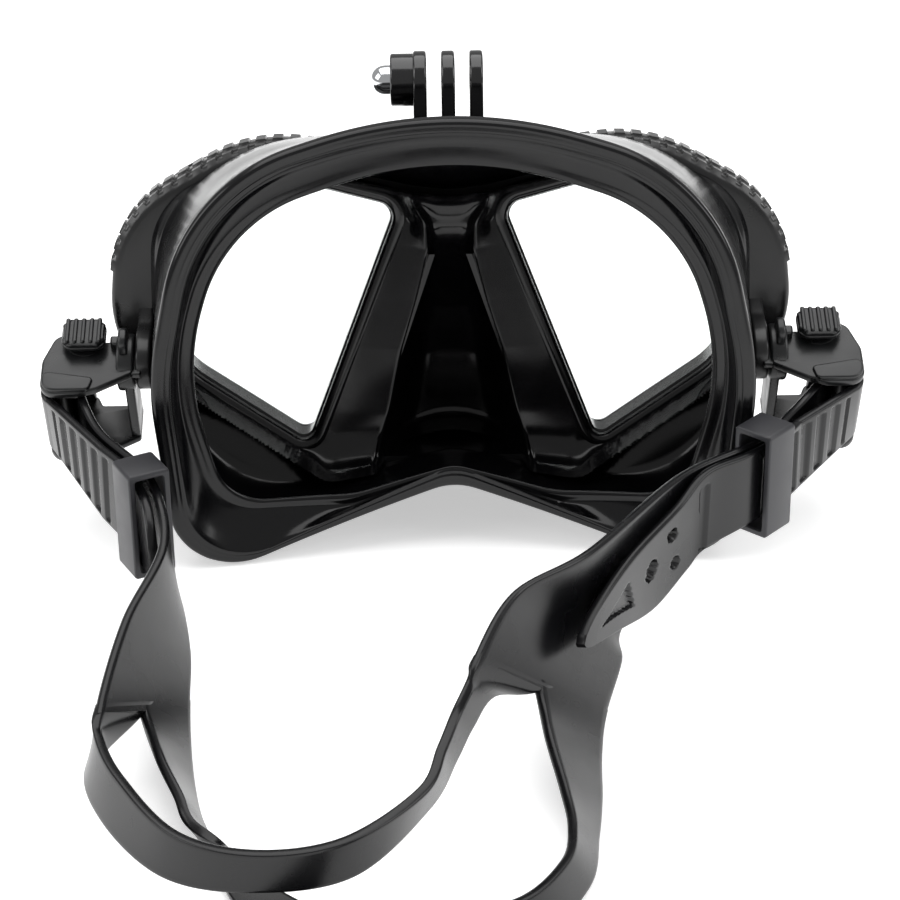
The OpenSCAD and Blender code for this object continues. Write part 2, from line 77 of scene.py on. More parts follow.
def outline(corners, d=0.0, n=10):
    """A polygon [x, y, radius] moved inward by d, each corner replaced by the arc tangent to its two sides."""
    p = np.asarray(corners, float)
    b = p[:, :2]
    e, f = b - np.roll(b, 1, 0), np.roll(b, -1, 0) - b
    e, f = (t / np.linalg.norm(t, axis=1)[:, None] for t in (e, f))
    m, k = np.stack([-e[:, 1], e[:, 0]], 1), np.stack([-f[:, 1], f[:, 0]], 1)
    s = np.sign(e[:, 0] * f[:, 1] - e[:, 1] * f[:, 0])
    q = b + d * (m + k) / (1 + (m * k).sum(1))[:, None]
    r = np.maximum(0.06, p[:, 2] - s * d)
    th = np.arccos(np.clip((e * f).sum(1), -1, 1))
    start = q - e * (r * np.tan(th / 2))[:, None]
    mid = start + (s * r)[:, None] * m
    g = np.arctan2(start[:, 1] - mid[:, 1], start[:, 0] - mid[:, 0])[:, None] + (s * th)[:, None] * np.linspace(0, 1, n)
    return (mid[:, None] + r[:, None, None] * np.stack([np.cos(g), np.sin(g)], -1)).reshape(-1, 2)


def mirrored(corners):
    """The same corners on the other side, in the opposite order, so that the outline still turns one way."""
    return [[-x, y, r] for x, y, r in reversed(corners)]


def even(points, n):
    """n points at equal distances along a closed outline, starting at its first."""
    loop = np.vstack([points, points[:1]])
    run = np.concatenate([[0], np.cumsum(np.linalg.norm(np.diff(loop, axis=0), axis=1))])
    return at_length(loop, run, run[-1] * np.arange(n) / n)


def at_length(points, run, s):
    """Points at the lengths s along a line whose corners lie at the lengths run."""
    return np.stack([np.interp(s, run, points[:, k]) for k in range(points.shape[1])], 1)


def quads(rows, cols, around=True, over=False):
    """Faces between neighbours of a grid of points; around joins the last column to the first, over the last row."""
    i = np.arange(rows if over else rows - 1)[:, None]
    j = np.arange(cols if around else cols - 1)[None, :]
    k, m = (i + 1) % rows, (j + 1) % cols
    return np.stack([i * cols + j, i * cols + m, k * cols + m, k * cols + j], -1).reshape(-1, 4)


def ring(rings):
    """A closed ring: rows of points, the last row joined to the first."""
    r, n = rings.shape[:2]
    return rings.reshape(-1, 3), [quads(r, n, True, True)]


def capped(*stacks):
    """A closed body: the first stack of rings is its outside, further stacks are holes through it, both ends flat."""
    faces, ends, base = [], [[], []], 0
    for s in stacks:
        r, n = s.shape[:2]
        faces.append(quads(r, n) + base)
        ends[0].append(base + np.arange(n))
        ends[1].append(base + (r - 1) * n + np.arange(n))
        base += r * n
    verts = np.vstack([s.reshape(-1, 3) for s in stacks])
    for loops in ends:
        flat = tessellate_polygon([[Vector(p) for p in verts[loop]] for loop in loops])
        faces.append(np.concatenate(loops)[np.array(flat)])
    return verts, faces


def rings_at(corners, profile, n=10):
    """Rings of an outline: for each (d, z) of the profile the outline moved inward by d, at height z."""
    return np.stack([np.column_stack([outline(corners, d, n), np.full(len(corners) * n, z)]) for d, z in profile])


def soft_edge(z0, z1, r, sign=1, steps=3):
    """Profile of a side from z0 to z1 whose two edges are quarter circles of radius r."""
    a = np.linspace(0, math.pi / 2, steps + 1)
    low = np.stack([sign * r * (1 - np.sin(a)), z0 + r * (1 - np.cos(a))], 1)
    return np.vstack([low, np.stack([low[::-1, 0], z0 + z1 - low[::-1, 1]], 1)])


def block(corners, z0, z1, edge, holes=(), n=6):
    """A plate between z0 and z1 with rounded edges, and rounded holes through it."""
    return capped(rings_at(corners, soft_edge(z0, z1, edge), n),
                  *[rings_at(h, soft_edge(z0, z1, edge * 0.6, -1), 12) for h in holes])


def circle(x, y, r):
    """Corners of a square whose rounding is the circle of radius r."""
    q = r * 0.9999
    return [[x - r, y - r, q], [x + r, y - r, q], [x + r, y + r, q], [x - r, y + r, q]]


def box(x0, x1, y0, y1, r):
    """Corners of a rectangle rounded by r."""
    return [[x0, y0, r], [x1, y0, r], [x1, y1, r], [x0, y1, r]]


def turned(profile, n=48):
    """A body of revolution about local z: each (radius, z) of a closed profile carried round the axis."""
    a = np.linspace(0, 2 * math.pi, n, endpoint=False)
    p = np.asarray(profile, float)
    return ring(np.stack([np.outer(p[:, 0], np.cos(a)), np.outer(p[:, 0], np.sin(a)),
                          np.repeat(p[:, 1:2], n, 1)], -1))


def placed(shell, fn):
    """The shell with each of its points put through fn."""
    return fn(shell[0]), shell[1]


def flip(shell):
    """The shell mirrored to the other side; put() turns its faces out again."""
    return shell[0] * [-1, 1, 1], shell[1]


TILT, FRONT_Y = math.radians(10), 42.0


def plane(p):
    """Lens-plane coordinates (x, v, w) to the frame's x, y, z."""
    x, v, w = p[..., 0], p[..., 1], p[..., 2]
    return np.stack([x, FRONT_Y + v * math.sin(TILT) - w * math.cos(TILT), v * math.cos(TILT) + w * math.sin(TILT)], -1)


def edgewise(p):
    """A plate drawn in (y, z) with its thickness along x."""
    return np.stack([p[..., 2], p[..., 0], p[..., 1]], -1)


def put(name, shells, material, body, slot, *nodes, sharp=38):
    """One piece from closed shells in millimetres: mesh, outward faces, smooth shading, material and body; slot is not
    used.
    """
    verts = (np.vstack([s[0] for s in shells]) + [0, FORWARD, 0]) * MM
    faces, base = [], 0
    for points, groups in shells:
        for g in groups:
            faces += (np.asarray(g) + base).tolist()
        base += len(points)
    mesh = bpy.data.meshes.new(name)
    mesh.from_pydata(verts.tolist(), [], faces)
    work = bmesh.new()
    work.from_mesh(mesh)
    bmesh.ops.remove_doubles(work, verts=work.verts, dist=1e-7)
    bmesh.ops.recalc_face_normals(work, faces=work.faces)
    work.to_mesh(mesh)
    work.free()
    mesh.shade_smooth()
    mesh.set_sharp_from_angle(angle=math.radians(sharp))
    mesh.materials.append(material)
    piece = bpy.data.objects.new(name, mesh)
    bpy.context.scene.collection.objects.link(piece)
    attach(piece, body)
    if nodes:
        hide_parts(*nodes)
    return piece


# ---------------------------------------------------------------- materials


def linear(code):
    """An sRGB hex colour as linear RGBA."""
    c = np.array([int(code[i:i + 2], 16) for i in (1, 3, 5)]) / 255
    return (*np.where(c <= 0.04045, c / 12.92, ((c + 0.055) / 1.055) ** 2.4), 1.0)


def add(tree, kind, links=None, **settings):
    """Adds one node: settings are its properties, or its inputs where the name is an input's; links go to inputs."""
    made = tree.nodes.new(kind)
    for key, value in settings.items():
        name = key.replace("_", " ")
        if hasattr(made, key) and key not in ("location",):
            setattr(made, key, value)
        else:
            made.inputs[name].default_value = value
    for key, source in (links or {}).items():
        tree.links.new(source, made.inputs[key])
    return made


def material(name):
    """An empty node material and its output."""
    made = bpy.data.materials.new(name)
    made.use_nodes = True
    made.node_tree.nodes.clear()
    return made, made.node_tree, made.node_tree.nodes.new("ShaderNodeOutputMaterial")


def moulded(name, dark, light, rough, grain, depth, ior, flow=9.0, metallic=0.0, coat=0.0, patch=None):
    """A moulded or finished surface.

    grain and depth are the width and height in mm of its surface texture, drawn as noise bump;
    flow is the width in mm of the slow changes of colour (dark to light) and of roughness (a pair).
    patch is (half x, y, z, radius): a stippled area on both sides, as left rough in the mould.
    """
    made, tree, out = material(name)
    place = add(tree, "ShaderNodeTexCoord").outputs["Object"]
    slow = add(tree, "ShaderNodeTexNoise", {"Vector": place}, Scale=1000 / flow, Detail=3.0).outputs["Fac"]
    fine = add(tree, "ShaderNodeTexNoise", {"Vector": place}, Scale=1000 / grain, Detail=4.0, Roughness=0.6)
    colour = add(tree, "ShaderNodeMix", {"Factor": slow}, data_type="RGBA")
    colour.inputs[6].default_value, colour.inputs[7].default_value = linear(dark), linear(light)
    gloss = add(tree, "ShaderNodeMapRange", {"Value": slow})
    gloss.inputs["From Min"].default_value, gloss.inputs["From Max"].default_value = 0.3, 0.7
    gloss.inputs["To Min"].default_value, gloss.inputs["To Max"].default_value = rough
    level, roughness = fine.outputs["Fac"], gloss.outputs["Result"]
    bump = add(tree, "ShaderNodeBump", {"Height": level}, Strength=0.6, Distance=depth * MM)
    normal = bump.outputs["Normal"]
    if patch:
        half, y, z, radius = patch
        split = add(tree, "ShaderNodeSeparateXYZ", {"Vector": place})
        across = add(tree, "ShaderNodeMath", {0: split.outputs["X"]}, operation="ABSOLUTE").outputs[0]
        both = add(tree, "ShaderNodeCombineXYZ", {"X": across, "Y": split.outputs["Y"], "Z": split.outputs["Z"]})
        away = add(tree, "ShaderNodeVectorMath", {0: both.outputs[0]}, operation="DISTANCE")
        away.inputs[1].default_value = (half * MM, (y + FORWARD) * MM, z * MM)
        near = add(tree, "ShaderNodeMapRange", {"Value": away.outputs["Value"]})
        for key, value in (("From Min", radius * MM), ("From Max", (radius + 1) * MM), ("To Min", 1.0), ("To Max", 0.0)):
            near.inputs[key].default_value = value
        grit = add(tree, "ShaderNodeTexVoronoi", {"Vector": place}, Scale=1000 / 0.9)
        height = add(tree, "ShaderNodeMath", {0: grit.outputs["Distance"], 1: near.outputs["Result"]}, operation="MULTIPLY")
        rugged = add(tree, "ShaderNodeBump", {"Height": height.outputs[0], "Normal": normal}, Strength=1.0, Distance=0.5 * MM)
        normal = rugged.outputs["Normal"]
        matt = add(tree, "ShaderNodeMath", {0: near.outputs["Result"], 2: roughness}, operation="MULTIPLY_ADD")
        matt.inputs[1].default_value = 0.3
        roughness = matt.outputs[0]
    shader = add(tree, "ShaderNodeBsdfPrincipled",
                 {"Base Color": colour.outputs[2], "Roughness": roughness, "Normal": normal})
    shader.inputs["Metallic"].default_value = metallic
    shader.inputs["IOR"].default_value = ior
    shader.inputs["Coat Weight"].default_value = coat
    tree.links.new(shader.outputs[0], out.inputs["Surface"])
    return made


def tempered_glass(name):
    """Clear float glass, tempered: colourless, faintly wavy from the furnace rollers, and it casts no shadow."""
    made, tree, out = material(name)
    place = add(tree, "ShaderNodeTexCoord").outputs["Object"]
    wave = add(tree, "ShaderNodeTexNoise", {"Vector": place}, Scale=1000 / 30, Detail=1.0)
    bump = add(tree, "ShaderNodeBump", {"Height": wave.outputs["Fac"]}, Strength=0.15, Distance=0.02 * MM)
    shader = add(tree, "ShaderNodeBsdfPrincipled", {"Normal": bump.outputs["Normal"]})
    for key, value in (("Transmission Weight", 1.0), ("Roughness", 0.0), ("IOR", 1.45)):
        shader.inputs[key].default_value = value
    shader.inputs["Base Color"].default_value = linear("#fbfefd")
    clear = add(tree, "ShaderNodeBsdfTransparent")
    ray = add(tree, "ShaderNodeLightPath").outputs["Is Shadow Ray"]
    mix = add(tree, "ShaderNodeMixShader", {0: ray, 1: shader.outputs[0], 2: clear.outputs[0]})
    tree.links.new(mix.outputs[0], out.inputs["Surface"])
    return made


# Liquid silicone rubber, injection moulded in a polished tool: deep black with wet-looking soft reflections.
SKIRT_SILICONE = moulded("silicone_polished_mould", "#050506", "#0a0a0c", (0.13, 0.2), 0.6, 0.006, 1.43,
                         patch=(59.0, 22.0, 31.0, 6.0))
# The same rubber from a blasted tool: satin, and paler where it is seen at a grazing angle.
STRAP_SILICONE = moulded("silicone_satin_mould", "#08080a", "#0f0f11", (0.22, 0.3), 0.35, 0.01, 1.43, flow=14)
# ABS from a spark-textured tool: charcoal black with a fine even grain.
FRAME_ABS = moulded("ABS_spark_textured", "#0c0c0d", "#121213", (0.26, 0.36), 0.4, 0.02, 1.54)
# ABS with polished faces, for the ring round each lens.
BEZEL_ABS = moulded("ABS_polished", "#0d0d0e", "#141415", (0.2, 0.3), 0.5, 0.006, 1.54)
# Polycarbonate, glossy and unpainted: hard mirror-like highlights on rounded edges.
MOUNT_POLYCARBONATE = moulded("polycarbonate_glossy", "#0a0a0b", "#101012", (0.12, 0.2), 0.8, 0.004, 1.58, coat=0.3)
# Glass-filled nylon, moulded: dark grey and satin, with faint flow marks.
BUCKLE_NYLON = moulded("nylon_glass_filled", "#141516", "#1b1c1d", (0.26, 0.36), 0.3, 0.015, 1.53, flow=5)
# Acetal, moulded: a paler grey, dull and waxy.
KEEPER_ACETAL = moulded("acetal_moulded", "#2b2b2e", "#333337", (0.34, 0.44), 0.3, 0.01, 1.48, flow=7)
# Brass, nickel and chrome plated: a bright mirror.
NUT_CHROME = moulded("brass_chrome_plated", "#d8dadd", "#e6e8ea", (0.05, 0.09), 2.0, 0.003, 1.5, metallic=1.0)
# Stainless steel wire and turned pins: bright, with fine drawing marks.
STEEL = moulded("stainless_steel_drawn", "#a9abae", "#bcbec0", (0.2, 0.32), 0.15, 0.004, 1.5, metallic=1.0)
GLASS = tempered_glass("float_glass_tempered")

# ---------------------------------------------------------------- the lenses' and frame's outlines

LENS = [[31.5, 8.5, 5], [65.7, 32, 20], [65, 66, 18], [40, 77, 42], [8.5, 68.5, 6]]
FRAME_HALF = [[25.8, -4, 7], [78, 33, 26], [75, 65, 26], [44, 82.3, 34], [8, 77.3, 20]]
FRAME_ALL = FRAME_HALF + mirrored(FRAME_HALF) + [[-4, 60, 3.4], [4, 60, 3.4]]
BACK_HALF = [[29, 3, 9], [67, 28.5, 22], [66.6, 68, 18], [40, 80, 40], [9, 74, 20]]
BACK_ALL = [[0, 9, 14]] + BACK_HALF + [[0, 73, 30]] + mirrored(BACK_HALF)
LIP_HALF = [[60.5, -5, 15], [65.5, 44, 60], [56.5, 86, 38]]
LIP_ALL = [[0, 16, 14]] + LIP_HALF + [[0, 101, 110]] + mirrored(LIP_HALF)
SEAL_HALF = [[22, 12.5, 20], [50, 13, 12], [58, 44, 50], [48, 76, 32]]
SEAL_ALL = [[0, 18.5, 10]] + SEAL_HALF + [[0, 90, 90]] + mirrored(SEAL_HALF)
PLATE_W = 15.9      # back face of the skirt's front plate


def lens_ring(profile, n=14):
    """A closed ring round the right lens: profile (inset, depth) carried round the lens outline."""
    return placed(ring(rings_at(LENS, profile, n)), plane)


def make_lenses():
    """Tempered lenses with ground edges, and the bezel round each: a rim, a bevel down to the glass, a sleeve."""
    glass = placed(block(LENS, 2.52, 6.48, 0.35, n=14), plane)
    bezel = lens_ring([(2, 2.5), (2, 1.5), (1.7, 1.0), (1.0, 0.55), (-0.6, 0.3), (-1.0, 0.28), (-1.2, 0.5), (-1.6, 0.5),
                       (-1.8, 0.12), (-2.2, 0.02), (-3.9, 0.0), (-4.6, 0.2), (-4.9, 0.7), (-5, 1.3), (-5, 2.5),
                       (-4.8, 2.85), (-3.9, 2.9), (-3.9, 6.3), (-3.7, 6.5), (-0.4, 6.5), (-0.2, 6.3), (-0.2, 2.5)])
    for side, turn in (("right", lambda s: s), ("left", flip)):
        put(f"tempered_lens_{side}", [turn(glass)], GLASS, "mask", "tempered_glass", f"lens_{side}")
        put(f"lens_bezel_{side}", [turn(bezel)], BEZEL_ABS, "mask", "bezel_plastic", f"bezel_{side}")


RIB_PITCH, RIB_HEIGHT = 3.8, 0.6


def make_frame():
    """Frame: the outline's rounded side carried round it, with two rows of grip pads standing out along the normal.

    Pads are a step function of the length along the rim; the profile is (inset, depth, share of the pad height).
    """
    line = outline(FRAME_ALL, 0, 24)
    loop = np.vstack([line, line[:1]])
    run = np.concatenate([[0], np.cumsum(np.linalg.norm(np.diff(loop, axis=0), axis=1))])
    count = int(run[-1] // RIB_PITCH)
    share = np.array([0.0, 0.05, 0.10, 0.38, 0.66, 0.71, 0.76, 0.88])
    raised = np.tile([0, 0, 1, 1, 1, 0, 0, 0], count)
    s = ((np.arange(count)[:, None] + share) * run[-1] / count).ravel()
    p = at_length(loop, run, s)
    d = at_length(loop, run, (s + 0.3) % run[-1]) - at_length(loop, run, (s - 0.3) % run[-1])
    out = np.stack([d[:, 1], -d[:, 0]], 1) / np.linalg.norm(d, axis=1)[:, None]
    pads = raised * (p[:, 1] > 52) * (np.abs(p[:, 0]) > 24)
    profile = [(2.2, 2.9, 0), (1.0, 3.0, 0), (0.45, 3.25, 0), (0.25, 3.6, 0.2), (0.2, 3.9, 1), (0.2, 6.3, 1),
               (0.2, 8.5, 1), (0.35, 8.8, 0.2), (0.6, 9.1, 0), (1.2, 9.25, 0), (1.25, 9.7, 0), (0.9, 9.9, 0),
               (0.65, 10.15, 0.3), (0.6, 10.4, 1), (0.6, 12.7, 1), (0.7, 13.1, 0.3), (1.0, 13.5, 0), (1.6, 13.85, 0),
               (2.6, 14.0, 0)]
    rim = np.stack([np.column_stack([p + out * (RIB_HEIGHT * share * pads - inset)[:, None], np.full(len(p), w)])
                    for inset, w, share in profile])
    hole = rings_at(LENS, [(-4.6, 2.9), (-4.15, 3.3), (-4.1, 9.0), (-1.1, 9.0), (-1.1, 13.5), (-1.6, 14.0)], 12)
    body = placed(capped(rim, hole, hole * [-1, 1, 1]), plane)
    arm = placed(block([[20, 31.6, 5.6], [31, 31.6, 6], [42, 36, 1], [42, 48, 1], [31, 44.5, 9], [20, 43.4, 5.6]],
                       66.5, 70.0, 0.7), edgewise)
    web = placed(block([[30, 36, 2], [43, 39, 1], [43, 45, 1], [30, 41.5, 2]], 62.5, 67.5, 0.8), edgewise)
    put("lens_frame", [body, arm, flip(arm), web, flip(web)], FRAME_ABS, "mask", "frame_plastic", "frame")


# ---------------------------------------------------------------- skirt

STATIONS = 300
WALL = 2.2


def inward(p, d):
    """Points (x, z) moved by d towards the middle of the face."""
    e = p - [0, 45]
    return [0, 45] + e * (1 - d / np.linalg.norm(e, axis=1))[:, None]


def skirt_wall():
    """The skirt's wall, lip and seal: a closed section at each station round the face.

    Corners of the section follow three loops, the front edge, the lip and the seal's inner edge;
    Catmull-Rom curves through the corners round it.
    """
    back, lip, seal = (even(outline(c, 0, 16), STATIONS) for c in (BACK_ALL, LIP_ALL, SEAL_ALL))

    def height(p):
        return 10 - 8 * (p[:, 0] / 62) ** 2 + 6 * (p[:, 1] - 45) / 50

    def front(d, w):
        q = inward(back, d)
        return plane(np.column_stack([q, np.full(len(q), w)]))

    def lip_at(d, y):
        q = inward(lip, d)
        return np.stack([q[:, 0], height(lip) + y, q[:, 1]], 1)

    def seal_at(d, y):
        q = inward(seal, d)
        return np.stack([q[:, 0], height(seal) + 3.5 + y, q[:, 1]], 1)

    def waist(f, k, y):
        q = f * 0.45 + k * 0.55
        q[:, 1] = f[:, 1] - y
        return q

    f, g = front(0, 14.3), front(WALL, 16.3)
    rim, inner = lip_at(0, 0), lip_at(WALL + 0.3, 2.6)
    out, inn = waist(f, rim, 6), waist(g, inner, 5)
    rows = [f, f * 0.6 + out * 0.4, out, out * 0.35 + rim * 0.65, lip_at(0.2, 3.0), lip_at(0.0, 2.0), lip_at(0.0, 1.4),
            lip_at(0.1, 0.8), lip_at(0.4, 0.3), lip_at(0.8, 0.05), lip_at(1.3, 0.0), lip_at(1.8, 0.05),
            lip_at(2.3, 0.1), lip_at(2.8, 0.12), lip_at(3.3, 0.28), lip_at(4.4, 0.5),
            lip_at(3.0, 0.7) * 0.55 + seal_at(-2.0, -0.6) * 0.45, seal_at(-3.0, -0.8), seal_at(-1.0, -0.5),
            seal_at(-0.1, -0.15), seal_at(0.2, 0.3), seal_at(-0.1, 0.8), seal_at(-1.2, 1.2),
            inner * 0.4 + seal_at(-1, 1.4) * 0.6, inner * 0.85 + seal_at(-1, 1.4) * 0.15, inner * 0.7 + inn * 0.3,
            inner * 0.4 + inn * 0.6, inn, inn * 0.6 + g * 0.4, g]
    p = np.stack(rows)
    a, b, c, d = (np.roll(p, k, 0) for k in (1, 0, -1, -2))
    t = np.array([0, 0.34, 0.67])[:, None, None, None]
    curve = 0.5 * (2 * b + (c - a) * t + (2 * a - 5 * b + 4 * c - d) * t ** 2 + (3 * b - a - 3 * c + d) * t ** 3)
    return ring(curve.transpose(1, 0, 2, 3).reshape(-1, STATIONS, 3))


def to_line(p, loop):
    """Distance from each point to a closed line, positive inside it, and the nearest point on it."""
    a, b = loop, np.roll(loop, -1, 0)
    e = b - a
    t = np.clip(((p[:, None] - a) * e).sum(2) / (e * e).sum(1), 0, 1)
    q = a + t[..., None] * e
    gap = np.linalg.norm(p[:, None] - q, axis=2)
    k = gap.argmin(1)
    crossing = ((a[:, 1] > p[:, 1:2]) != (b[:, 1] > p[:, 1:2])) & (
        p[:, 0:1] < a[:, 0] + e[:, 0] * (p[:, 1:2] - a[:, 1]) / np.where(e[:, 1] == 0, 1e-9, e[:, 1]))
    inside = crossing.sum(1) % 2 == 1
    n = np.arange(len(p))
    return np.where(inside, 1, -1) * gap[n, k], q[n, k]


# Half width of the channel between the eyes, at heights v: nose pocket, neck of the bridge, brow recess
EDGE_V = [6, 12, 23, 35, 46, 53, 58, 63.5, 68, 72, 80]
EDGE_X = [17.6, 16.4, 13.8, 11.3, 8.0, 6.2, 5.1, 5.4, 8.0, 9.2, 10.5]
FLOOR_V = [0, 15, 28, 38, 45, 50, 54, 57.5, 60, 62, 90]
FLOOR_W = [-5, -5, -4.6, -2, 2, 5.8, 9.6, 13.2, 15.0, 15.9, 15.9]
CREST_V = [0, 8, 20, 40, 58, 66, 72, 80]
CREST_W = [0.5, 1.2, 2.8, 3.2, 3.4, 2.8, 2.0, 0.5]


def smooth_step(t):
    t = np.clip(t, 0, 1)
    return t * t * (3 - 2 * t)


def blurred(h, times):
    """The grid's heights averaged with their four neighbours, a few times over."""
    for _ in range(times):
        q = np.pad(h, 1, mode="edge")
        h = 0.4 * h + 0.15 * (q[:-2, 1:-1] + q[2:, 1:-1] + q[1:-1, :-2] + q[1:-1, 2:])
    return h


def liner_depth(x, v, d_back, d_lens):
    """Depth w of the skirt's inner face at each point of the lens plane.

    A flat plate, a fillet rising to the wall, a crest falling from the channel to each lens,
    and inside the channel the nose pocket: floor + (edge - floor) * (|x| / half width) ** 5.
    """
    half = np.interp(v, EDGE_V, EDGE_X)
    a = np.abs(x)
    room = np.minimum(9, np.maximum(d_lens + d_back - 2.4, 0.3))
    room = np.where(a < half + 1, np.minimum(room, 3.0 + 4 * smooth_step((v - 50) / 15)), room)
    t = np.clip(1 - (d_back - 2.4) / room, 0, 1)
    fillet = (6.5 + 2 * smooth_step((30 - v) / 20)) * (1 - np.sqrt(1 - t ** 2))
    crest = np.interp(v, CREST_V, CREST_W)
    k = np.clip(d_lens, 0, 99) / np.maximum(np.clip(d_lens, 0, 99) + np.abs(a - half), 0.5)
    land = PLATE_W + crest * k ** 1.4
    groove = 0.9 * np.exp(-(((a - half - 3.6) / 1.1) ** 2)) * smooth_step((v - 60) / 4) * smooth_step((74 - v) / 4)
    land = land - groove
    floor = np.interp(v, FLOOR_V, FLOOR_W)
    u = np.clip(a / half, 0, 1)
    channel = floor + (PLATE_W + crest - floor) * u ** 5
    steps = sum(0.45 * smooth_step((v - s) / 0.5) for s in (68.6, 70.2, 71.8))
    channel = channel + steps * smooth_step((5.6 - (73 - v) * 0.4 - a) / 0.6)
    return np.where(a < half, channel, land), fillet


def skirt_liner():
    """The skirt's inner face between the wall, the lenses and the nose, 1.4 mm thick.

    A grid over the lens plane whose columns follow the channel's edge. Cells outside the wall or inside
    a lens opening are left out, and the border's points are moved to the nearest point of that outline.
    """
    q = np.linspace(0, 1, 90) ** 1.25
    u = np.concatenate([np.linspace(0, 0.7, 14, endpoint=False), np.linspace(0.7, 1, 14)])
    v = np.linspace(2, 80, 150)
    half = np.interp(v, EDGE_V, EDGE_X)[:, None]
    right = np.hstack([half * u, half + (68 - half) * q[1:]])
    x = np.hstack([-right[:, :0:-1], right])
    rows, cols = x.shape
    p = np.stack([x, np.repeat(v[:, None], cols, 1)], -1).reshape(-1, 2)
    wall = outline(BACK_ALL, 2.4, 8)
    hole = outline(LENS, 0.6, 8)
    d_back, on_back = to_line(p, wall)
    d_right, on_right = to_line(p * np.where(p[:, :1] < 0, [-1, 1], [1, 1]), hole)
    on_right = on_right * np.where(p[:, :1] < 0, [-1, 1], [1, 1])
    grid = lambda t: t.reshape(rows, cols)
    cells = quads(rows, cols, False)
    strip = (d_back - d_right)[cells].mean(1)       # under 1 mm wide it lies behind the gasket and is left out
    keep = (d_back[cells].mean(1) > 0) & (d_right[cells].mean(1) < 0) & (strip > 1.0)
    used, spare = np.zeros(len(p), bool), np.zeros(len(p), bool)
    used[cells[keep].ravel()] = True
    spare[cells[~keep].ravel()] = True
    border = used & spare
    near_back = np.abs(d_back) < np.abs(d_right)
    p[border & near_back] = on_back[border & near_back]
    p[border & ~near_back] = on_right[border & ~near_back]
    d_back, _ = to_line(p, wall)
    d_right, _ = to_line(p * np.where(p[:, :1] < 0, [-1, 1], [1, 1]), hole)
    base, fillet = liner_depth(p[:, 0], p[:, 1], np.maximum(d_back, 0) + 2.4, np.maximum(-d_right, 0))
    top = (blurred(grid(base), 3) + blurred(grid(fillet), 1)).ravel()
    faces = cells[keep]
    edges = np.concatenate([faces[:, [k, (k + 1) % 4]] for k in range(4)])
    code = edges[:, 0] * len(p) + edges[:, 1]
    rim = edges[~np.isin(code, edges[:, 1] * len(p) + edges[:, 0])]
    n = len(p)
    verts = np.vstack([np.column_stack([p, top]), np.column_stack([p, top - 1.4])])
    number = np.zeros(2 * n, int) - 1
    live = np.concatenate([used, used])
    number[live] = np.arange(live.sum())
    sides = np.stack([rim[:, 1], rim[:, 0], rim[:, 0] + n, rim[:, 1] + n], 1)
    return plane(verts[live]), [number[faces], number[faces[:, ::-1] + n], number[sides]]


def pocket_half(v):
    return 4 + 21.8 * (60 - v) / 64 - 0.6


def arch(v, inset, n=60, low=15.6):
    """The nose pocket's section at height v: a super-ellipse from one side of the notch to the other."""
    a = np.linspace(0, math.pi, n)
    reach = 15 * (1 - ((60 - v) / 62) ** 8) * min(1, (64 - v) / 50) - 5
    w = low - (15.8 + reach - inset) * np.sin(a) ** 0.6
    x = (pocket_half(v) - inset) * np.sign(np.cos(a)) * np.abs(np.cos(a)) ** 0.7
    ridge = 0.7 * max(0.0, math.cos((v - 12) / 5 * 2 * math.pi)) ** 0.6 * (9 < v < 35) if inset == 0 else 0
    side = smooth_step((np.abs(x) / pocket_half(v) - 0.86) / 0.1) * smooth_step((12 - w) / 3)
    x = x + np.sign(x) * ridge * side * (1 if inset == 0 else 0)
    return np.stack([x, np.full(n, v), w], 1)


def nose_pocket():
    """The pocket's outer shell, a thick arch at each height, and the solid foot that closes it below."""
    heights = np.linspace(4.0, 56, 140)
    shell = np.stack([np.vstack([arch(v, 0), arch(v, 1.3)[::-1]]) for v in heights])
    foot = np.stack([arch(v, d) for v, d in ((3.0, 2.4), (3.1, 1.5), (3.5, 0.7), (4.2, 0.2), (5.0, 0.0), (8.6, 0.4), (9.0, 1.4))])
    return [placed(capped(shell), plane), placed(capped(foot), plane)]


def make_skirt():
    """Skirt: wall with lip and seal, inner face, a gasket round each lens, and the nose pocket."""
    gasket = lens_ring([(2.5, 6.45), (2.5, 12.9), (2.75, 13.1), (2.75, 13.6), (2.3, 13.8), (2.3, 15.0), (2.05, 15.7),
                        (1.4, 16.2), (0.5, 16.35), (-0.4, 16.2), (-0.8, 15.6), (-0.9, 14.6), (-0.9, 9.0), (-3.6, 8.9),
                        (-3.8, 8.7), (-3.8, 6.7), (-3.6, 6.5)])
    put("face_skirt", [skirt_wall(), skirt_liner(), gasket, flip(gasket), *nose_pocket()], SKIRT_SILICONE,
        "mask", "skirt_silicone", "skirt", sharp=50)


# ---------------------------------------------------------------- camera mount

MOUNT_Y, BORE_Z = 49.0, 94.3


